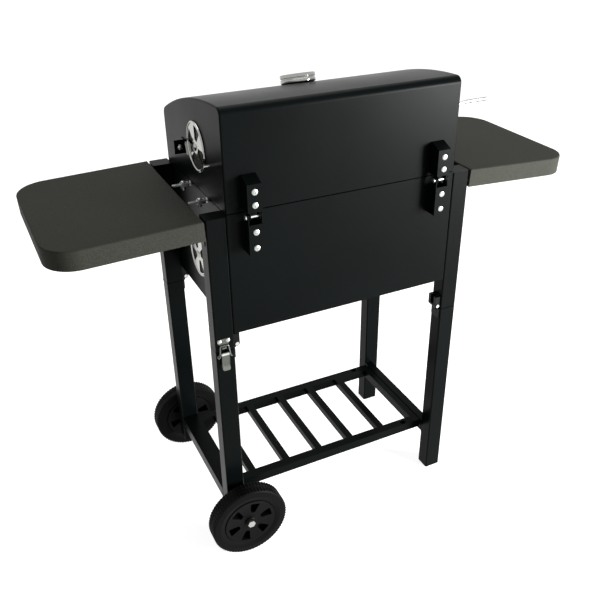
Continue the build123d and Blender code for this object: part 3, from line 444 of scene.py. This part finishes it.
def joined(name, *pieces):
    """One or more solids made one piece under a name."""
    bpy.ops.object.select_all(action="DESELECT")
    for piece in pieces:
        piece.select_set(True)
    bpy.context.view_layer.objects.active = pieces[0]
    if len(pieces) > 1:
        bpy.ops.object.join()
    pieces[0].name = name
    pieces[0].data.name = name
    return pieces[0]


def finished(piece, material, body, slot, *stands_for):
    """Gives a new piece its finish and its place in the frame."""
    bpy.ops.object.select_all(action="DESELECT")
    piece.select_set(True)
    bpy.context.view_layer.objects.active = piece
    bpy.ops.object.shade_smooth_by_angle(angle=radians(32))
    flats = piece.modifiers.new("flats", "WEIGHTED_NORMAL")
    flats.keep_sharp = True
    bpy.ops.object.modifier_apply(modifier=flats.name)
    piece.data.materials.clear()
    piece.data.materials.append(material)
    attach(piece, body)
    if stands_for:
        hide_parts(*stands_for)


wheel_black = skin(
    "moulded black polypropylene",
    "#040504",
    roughness=0.42,
    gloss_level=0.06,
    peel_mm=5.0,
    peel_depth=0.1,
)
tyre_black = skin(
    "blown black polyethylene",
    "#040504",
    roughness=0.5,
    gloss_level=0.05,
    peel_mm=3.0,
    peel_depth=0.15,
)
axle = (0, 1, 0)
for row, side in rows.items():
    wheel = f"wheel_{row}"
    centre = Vector((wheel_x, side * wheel_y, wheel_z))
    dress(tyre_black, f"wheel_tyre_{row}")
    dress(wheel_black, f"wheel_disc_{row}")
    tyre = turned(tyre_outline, centre, axle, steps=144)
    tread = []
    for half, stagger in ((-1, 0), (1, pi / tread_ribs)):
        out = Vector((sin(stagger), 0, cos(stagger)))
        along = Vector((cos(stagger), 0, -sin(stagger)))
        corners = [
            centre + (along * x + Vector((0, half * y, 0)) + out * rib_root) * MM
            for x, y in rib_outline
        ]
        rib = plate(corners, out * rib_height * MM)
        soften(rib, width_mm=0.7, segments=1)
        repeat_round(rib, tread_ribs, centre, axle)
        tread.append(rib)
    ribbed_tyre = joined(f"tyre_{row}", tyre, *tread)
    finished(ribbed_tyre, tyre_black, wheel, "tyre_plastic", f"wheel_tyre_{row}")

    disc = turned(disc_outline, centre, axle, steps=96)
    out = Vector((cos(pocket_turn), 0, sin(pocket_turn)))
    along = Vector((-sin(pocket_turn), 0, cos(pocket_turn)))
    for face in (-1, 1):
        inmost = Vector((0, face * pocket_floor, 0))
        corners = [centre + (out * r + along * s + inmost) * MM for r, s in pocket_outline]
        pocket = plate(corners, (0, face * pocket_reach * MM, 0), rounding=3)
        repeat_round(pocket, pockets, centre, axle)
        cut(disc, pocket)
    soften(disc, width_mm=1.2, segments=3)
    moulding = joined(f"wheel_disc_{row}_moulding", disc)
    finished(moulding, wheel_black, wheel, "wheel_plastic", f"wheel_disc_{row}")


# Rotary vents: a pressed and chromed steel disc with a rolled rim and four
# openings, turning on a domed rivet, with a finger tab bent out of its edge.
vent_wall_x = 252
vents = {"lid": (39, 902, 70), "firebox": (-1, 657, 20)}  # y, z, turn in degrees
vent_outline = [
    (0, 0.7), (42.5, 0.7), (44, 0.9), (45.5, 1.4), (47, 0.9), (48.8, 0.7),
    (49, 1.5), (48.6, 2.7), (47.2, 3.5), (45.6, 3.3), (44.6, 2.4), (43.4, 2.1),
    (9, 2.1), (7.5, 2.3), (6, 3.6), (4, 4.6), (0, 5.0),
]
vent_openings, opening_inner, opening_outer = 4, 14, 41.5
opening_arc = range(-22, 23, 4)
cutter_back, cutter_length = -5, 15
tab_outline = ((1, -13), (7.1, -13), (7.1, 13), (1, 13))
tab_after, tab_radius, tab_thickness = 130, 47.4, 1.4
for part, (y, z, phase) in vents.items():
    for end, side in ends.items():
        damper = f"{part}_damper_{end}_side"
        dress(chrome, damper)
        face = Vector((side * vent_wall_x * MM, y * MM, z * MM))
        vent = turned(vent_outline, face, (side, 0, 0), steps=96)
        for opening in range(vent_openings):
            middle = phase + opening * 360 / vent_openings
            angles = [radians(middle + a) for a in opening_arc]
            ring = [(opening_outer, a) for a in angles]
            ring += [(opening_inner, a) for a in reversed(angles)]
            sector = [
                face + Vector((cutter_back * side * MM, r * cos(a) * MM, r * sin(a) * MM))
                for r, a in ring
            ]
            cut(vent, plate(sector, (side * cutter_length * MM, 0, 0)))
        tab_turn = radians(phase + tab_after)
        out = Vector((0, cos(tab_turn), sin(tab_turn)))
        across = Vector((0, -sin(tab_turn), cos(tab_turn)))
        corners = [
            face + Vector((side * x * MM, 0, 0)) + out * tab_radius * MM + across * s * MM
            for x, s in tab_outline
        ]
        tab = plate(corners, out * tab_thickness * MM, rounding=2.5)
        soften(tab, width_mm=0.3, segments=1)
        pressing = joined(f"{damper}_pressing", vent, tab)
        finished(pressing, chrome, f"{part}_vent_{end}_side", "chrome_plate", damper)


# Hinge screws: zinc-plated pan heads with a cross recess, two on each bracket
# of the lid's hinges.
hinge_xs, hinge_face_y = (-205, 205), 208
screw_outline = [(0, 0), (6.1, 0), (6.2, 0.8), (5.6, 1.9), (4, 2.7), (2, 3.0), (0, 3.1)]
recess_floor, recess_reach = 1.4, 4
recess_arms = ((3.4, 0.7), (0.7, 3.4))
quarters = ((-1, -1), (1, -1), (1, 1), (-1, 1))
for level, heights, body in (
    ("upper", (861.5, 836), "lid_assembly"),
    ("lower", (783, 751), "cart"),
):
    screws = f"lid_hinge_{level}_screws"
    dress(zinc, screws)
    heads = []
    for x in hinge_xs:
        for z in heights:
            seat = Vector((x, hinge_face_y, z)) * MM
            head = turned(screw_outline, seat, (0, 1, 0), steps=32)
            for half_x, half_z in recess_arms:
                corners = [
                    seat + Vector((half_x * sx, recess_floor, half_z * sz)) * MM
                    for sx, sz in quarters
                ]
                cut(head, plate(corners, (0, recess_reach * MM, 0)))
            heads.append(head)
    finished(joined(f"{screws}_heads", *heads), zinc, body, "zinc_plate", screws)


# Lid gauge: a drawn and chromed steel cup with a rolled bezel, on a stem that
# runs through the lid. A flat glass, clear and nearly smooth, closes it.
gauge_tilt = radians(16.6)
gauge_axis = Vector((0, -sin(gauge_tilt), cos(gauge_tilt)))
gauge_foot = Vector((0, -35 * MM, 975.2 * MM))
case_outline = [
    (0, 1), (33, 1), (36, 2.2), (36.8, 4), (36.6, 9), (35.4, 10.5), (35.4, 12),
    (36.9, 13.2), (37, 17.5), (36, 19.6), (34.2, 19.9), (32.6, 19), (32.2, 15.4), (0, 15.4),
]
stem_outline = [(0, 0), (4, 0), (4, -56), (2.5, -60), (0, -60)]
stem_top = gauge_foot + gauge_axis * 1.5 * MM
case = turned(case_outline, gauge_foot, gauge_axis, steps=96)
stem = turned(stem_outline, stem_top, gauge_axis, steps=24)
gauge_case = joined("gauge_case", case, stem)
dress(chrome, "thermometer_case")
finished(gauge_case, chrome, "lid_assembly", "chrome_plate", "thermometer_case")
gauge_glass, tree, output = new_material("flat gauge glass")
shader = add_node(
    tree,
    "ShaderNodeBsdfPrincipled",
    {"Roughness": 0.02, "Transmission Weight": 1.0, "IOR": 1.45},
)
tree.links.new(shader.outputs[0], output.inputs["Surface"])
dress(gauge_glass, "thermometer_glass")


# Gauge face: a steel disc enamelled an even white, with matt black marks
# printed round all but its lowest quarter, and a black needle on a small boss.
dial_face = gauge_foot + gauge_axis * 15.45 * MM
right = Vector((-1, 0, 0))
up = gauge_axis.cross(right)
dial_outline = [(0, -0.1), (31.9, -0.1), (31.9, 0.15), (0, 0.15)]
boss_outline = [(0, 0.4), (2.6, 0.4), (2.6, 1.6), (1.8, 2.0), (0, 2.0)]
mark_steps, mark_turn, mark_end, mark_thickness = range(-6, 7), 22, 29.5, 0.3
long_mark, short_mark = (24, 0.6), (26.5, 0.35)  # inner end, half width
needle_outline, needle_thickness = ((-8, -1), (22, -0.3), (22, 0.3), (-8, 1)), 0.9
dial_white = skin(
    "white dial enamel",
    "#e8e8e4",
    roughness=0.4,
    gloss_level=0.5,
    peel_mm=4.0,
    peel_depth=0.02,
)
mark_black = skin(
    "black printed scale",
    "#0a0a0a",
    roughness=0.5,
    gloss_level=0.3,
    peel_mm=4.0,
    peel_depth=0.02,
)
dress(dial_white, "thermometer_dial")
marks = [turned(boss_outline, dial_face, gauge_axis, steps=24)]
for step in mark_steps:
    turn = radians(step * mark_turn)
    out = up * cos(turn) + right * sin(turn)
    along = out.cross(gauge_axis)
    inner, half = long_mark if step % 2 == 0 else short_mark
    outline = ((inner, -half), (mark_end, -half), (mark_end, half), (inner, half))
    corners = [dial_face + (out * r + along * w) * MM for r, w in outline]
    marks.append(plate(corners, gauge_axis * mark_thickness * MM))
corners = [dial_face + (up * r + right * w) * MM for r, w in needle_outline]
marks.append(plate(corners, gauge_axis * needle_thickness * MM))
dial = joined("gauge_dial", turned(dial_outline, dial_face, gauge_axis, steps=64))
finished(dial, dial_white, "lid_assembly", "dial_face", "thermometer_dial")
finished(joined("gauge_marks", *marks), mark_black, "lid_assembly", "black_powder_coat")


# Lid lug: a domed zinc-plated bolt head on the ear that stands out of the
# lid's wheel end.
lug_face = Vector((263, -34, 881)) * MM
dome_outline = [(0, 0.2), (6, 0.2), (6.2, 1), (5.6, 2.6), (4, 3.6), (2, 4.1), (0, 4.2)]
head = turned(dome_outline, lug_face, (0, 1, 0), steps=32)
finished(joined("lid_lug_bolt", head), zinc, "lid_assembly", "zinc_plate")


# Table catches: beside each table two zinc-plated catches bridge the gap to
# the firebox: a nut and threaded rod at the wall, a slotted fork with a bolt
# through it, and a flat tongue that runs to the table.
catch_wall_x, catch_ys, catch_height = 250, (78, -22), 807.5
nut_outline = [(0, 0.1), (5.4, 0.1), (6, 0.5), (6, 2.3), (5.4, 2.8), (0, 2.8)]
thread_start, thread_end, half_pitch, thread_radius, thread_depth = 2, 8.5, 0.45, 2.9, 0.4
rod_outline = [(0, thread_start)] + [
    (thread_radius - thread_depth * (k % 2), thread_start + k * half_pitch) for k in range(15)
] + [(0, thread_end)]
fork_outline, fork_height = ((5.5, -6), (23, -6), (23, 6), (5.5, 6)), 7.6
slot_outline, slot_reach = ((9.5, -2.9), (19.5, -2.9), (19.5, 2.9), (9.5, 2.9)), 16
tongue_outline, tongue_height = ((21, -4), (39, -3), (40.8, 0), (39, 3), (21, 4)), 3.2
bolt_x = 17
bolt_outline = [
    (0, -12), (2.6, -12), (2.6, -9.6), (4.6, -9.6), (4.6, -6.4), (2.6, -6.4),
    (2.6, 4.4), (4.4, 4.4), (4.2, 6), (2.6, 6.9), (0, 7.1),
]


def level_bar(wall, side, outline, underside, height, rounding):
    """A bar that lies level: an outline of (off the wall, along it) in mm, built up from below."""
    corners = [wall + Vector((side * x, w, underside)) * MM for x, w in outline]
    return plate(corners, (0, 0, height * MM), rounding)


for end, side in ends.items():
    bits = []
    for y in catch_ys:
        wall = Vector((side * catch_wall_x, y, catch_height)) * MM
        nut = turned(nut_outline, wall, (side, 0, 0), steps=6)
        rod = turned(rod_outline, wall, (side, 0, 0), steps=20)
        fork = level_bar(wall, side, fork_outline, -fork_height / 2, fork_height, rounding=2.5)
        cut(fork, level_bar(wall, side, slot_outline, -fork_height, slot_reach, rounding=1.5))
        soften(fork, width_mm=0.8, segments=2)
        tongue = level_bar(
            wall, side, tongue_outline, -tongue_height / 2, tongue_height, rounding=0.8
        )
        soften(tongue, width_mm=0.5, segments=1)
        bolt_place = wall + Vector((side * bolt_x * MM, 0, 0))
        bolt = turned(bolt_outline, bolt_place, (0, 0, 1), steps=24)
        bits += [nut, rod, fork, tongue, bolt]
    catch = joined(f"table_catches_{end}_side", *bits)
    replaced = ("table_support_straps",) if end == "wheel" else ()
    finished(catch, zinc, "cart", "zinc_plate", *replaced)


# Toggle latches: on each wheel-side leg a pressed catch plate with two bright
# rivets and a hooked lip, a wire bail, and a lever with a bright rolled bar
# that folds down over its narrow base. The pressings and the bail wire take a
# darker grey copy of the zinc plate, which is painted shade.
latch_x, leg_face_y, seat_gap = 275, 180, 0.1
catch_thickness, lip_start, strip_thickness, lever_thickness = 1.8, 1.6, 1.6, 1.8
catch_outline = (
    (-13.5, 555.5), (13.5, 555.5), (13.5, 547), (5, 538),
    (5, 532.5), (-5, 532.5), (-5, 538), (-13.5, 547),
)
lip_outline = ((-4.8, 533), (4.8, 533), (4.8, 537), (-4.8, 537))
rivet_outline = [(0, 0), (4.8, 0), (4.7, 0.9), (3.6, 2.1), (2, 2.7), (0, 2.9)]
rivet_xs, rivet_z = (-8.6, 8.6), 550.5
base_outline = ((-7.4, 523.8), (7.4, 523.8), (7.4, 488), (-7.4, 488))
wing_outline = ((7, 518.5), (14.8, 518.5), (14.8, 513.5), (7, 513.5))
ear_x, ear_thickness = 13.9, 1.0
ear_outline = ((0.2, 518.5), (7.6, 518.5), (9.2, 517), (9.2, 515), (7.6, 513.5), (0.2, 513.5))
lug_x, lug_thickness = 8.8, 1.1
lug_outline = (
    (0.2, 523.6), (4, 525.2), (7, 525.2), (8.8, 523), (8.8, 520), (6, 518.5), (0.2, 517),
)
lever_pin_y, lever_pin_z = 6, 522
pin_outline = mirrored([(0, -10.4), (2.3, -10.4), (2.5, -10), (1.9, -9.9)])
bar_outline = mirrored([(2.1, -8.2), (3.1, -8.2), (3.5, -7.8)])
flat_corners = ((-8.2, 7.2, 520.5), (8.2, 7.2, 520.5), (8.2, 5.6, 494), (-8.2, 5.6, 494))
toe_corners = (
    (8.2, 5.6, 495), (8.2, 9.2, 488), (5.8, 10.2, 486),
    (-5.8, 10.2, 486), (-8.2, 9.2, 488), (-8.2, 5.6, 495),
)
rail_corners = ((6.9, 8, 519), (8.2, 8, 519), (8.2, 6.8, 497), (6.9, 6.8, 497))
bail_corners = (
    (-14.9, 7, 516), (-11.5, 7, 516), (-8.6, 3.9, 540.6),
    (8.6, 3.9, 540.6), (11.5, 7, 516), (14.9, 7, 516),
)
bail_radius, bail_bend, bend_steps = 1.45, 2.4, 5
# A darker grey copy of the bright zinc: painted shade for the latch pressings and bail.
shaded_zinc = plated("zinc plate darkened with painted shade", "#5b5e59", roughness=0.38, cloud_mm=5)


def pressed(face, side, corners, thickness, rounding=0.0):
    """A strip on a leg's face: corners (across, off the face, height) in mm, thickened outwards."""
    points = [face + Vector((x, side * y, z)) * MM for x, y, z in corners]
    return plate(points, Vector((0, side, 0)) * thickness * MM, rounding)


def flush(outline, off, way=1):
    """An outline (across, height) as corners that stand so far off the face."""
    return [(way * x, off, z) for x, z in outline]


def cheek(face, side, x, outline, thickness):
    """An upright flange at x: an outline (off the face, height) in mm, thickened along x."""
    points = [face + Vector((x, side * y, z)) * MM for y, z in outline]
    return plate(points, Vector((thickness * MM, 0, 0)), rounding=1)


def rounded_path(corners, bend, steps):
    """Corners joined by straight lines, with a curve at each corner between the ends."""
    path = [corners[0]]
    for before, corner, after in zip(corners, corners[1:], corners[2:]):
        start = corner + (before - corner).normalized() * bend
        stop = corner + (after - corner).normalized() * bend
        for step in range(steps + 1):
            t = step / steps
            path.append(start * (1 - t) ** 2 + corner * 2 * t * (1 - t) + stop * t ** 2)
    return path + [corners[-1]]


for row, side in rows.items():
    leg = f"leg_{row}_wheel_side"
    out = Vector((0, side, 0))
    face = Vector((latch_x, side * leg_face_y, 0)) * MM

    hook_plate = pressed(
        face, side, flush(catch_outline, seat_gap), catch_thickness, rounding=2.2
    )
    soften(hook_plate, width_mm=0.4, segments=1)
    lip = pressed(face, side, flush(lip_outline, lip_start), thickness=2.9, rounding=0.6)
    soften(lip, width_mm=0.9, segments=2)
    catch = joined(f"latch_catch_{row}_pressing", hook_plate, lip)
    replaced = ("latch_catches",) if row == "rear" else ()
    finished(catch, shaded_zinc, "cart", "zinc_plate", *replaced)
    rivet_seats = [
        face + Vector((x, side * catch_thickness, rivet_z)) * MM for x in rivet_xs
    ]
    rivets = [turned(rivet_outline, seat, out, steps=24) for seat in rivet_seats]
    finished(joined(f"latch_rivets_{row}", *rivets), zinc, "cart", "zinc_plate")

    bits = [pressed(face, side, flush(base_outline, seat_gap), strip_thickness, rounding=2.5)]
    for way in (-1, 1):
        bits.append(pressed(face, side, flush(wing_outline, seat_gap, way), strip_thickness))
        bits.append(cheek(face, side, way * ear_x, ear_outline, way * ear_thickness))
        bits.append(cheek(face, side, way * lug_x, lug_outline, way * lug_thickness))
    lever_pin = face + Vector((0, side * lever_pin_y, lever_pin_z)) * MM
    bits.append(turned(pin_outline, lever_pin, (1, 0, 0), steps=20))
    base = joined(f"latch_base_{row}_pressing", *bits)
    finished(base, shaded_zinc, leg, "zinc_plate", f"latch_base_{row}")

    bar = turned(bar_outline, lever_pin, (1, 0, 0), steps=24)
    finished(joined(f"latch_bar_{row}", bar), zinc, f"lever_{row}", "zinc_plate")
    flat = pressed(face, side, flat_corners, lever_thickness)
    toe = pressed(face, side, toe_corners, lever_thickness)
    for strip in (flat, toe):
        soften(strip, width_mm=0.5, segments=1)
    rails = []
    for way in (-1, 1):
        corners = [(way * x, y, z) for x, y, z in rail_corners]
        rails.append(pressed(face, side, corners, thickness=1.3))
    lever = joined(f"latch_lever_{row}_pressing", flat, toe, *rails)
    finished(lever, shaded_zinc, f"lever_{row}", "zinc_plate", f"latch_lever_{row}")

    path = rounded_path([Vector(c) for c in bail_corners], bail_bend, bend_steps)
    bpy.ops.object.select_all(action="DESELECT")
    bpy.ops.curve.primitive_bezier_curve_add()
    wire = bpy.context.object
    wire.data.splines.remove(wire.data.splines[0])
    spline = wire.data.splines.new("POLY")
    spline.points.add(len(path) - 1)
    for point, spot in zip(spline.points, path):
        point.co = (*(face + Vector((spot.x, side * spot.y, spot.z)) * MM), 1)
    wire.data.bevel_depth = bail_radius * MM
    wire.data.bevel_resolution = 4
    wire.data.use_fill_caps = True
    bpy.ops.object.convert(target="MESH")
    bail = joined(f"latch_bail_{row}_wire", wire)
    finished(bail, shaded_zinc, f"bail_{row}", "zinc_plate", f"latch_bail_{row}")
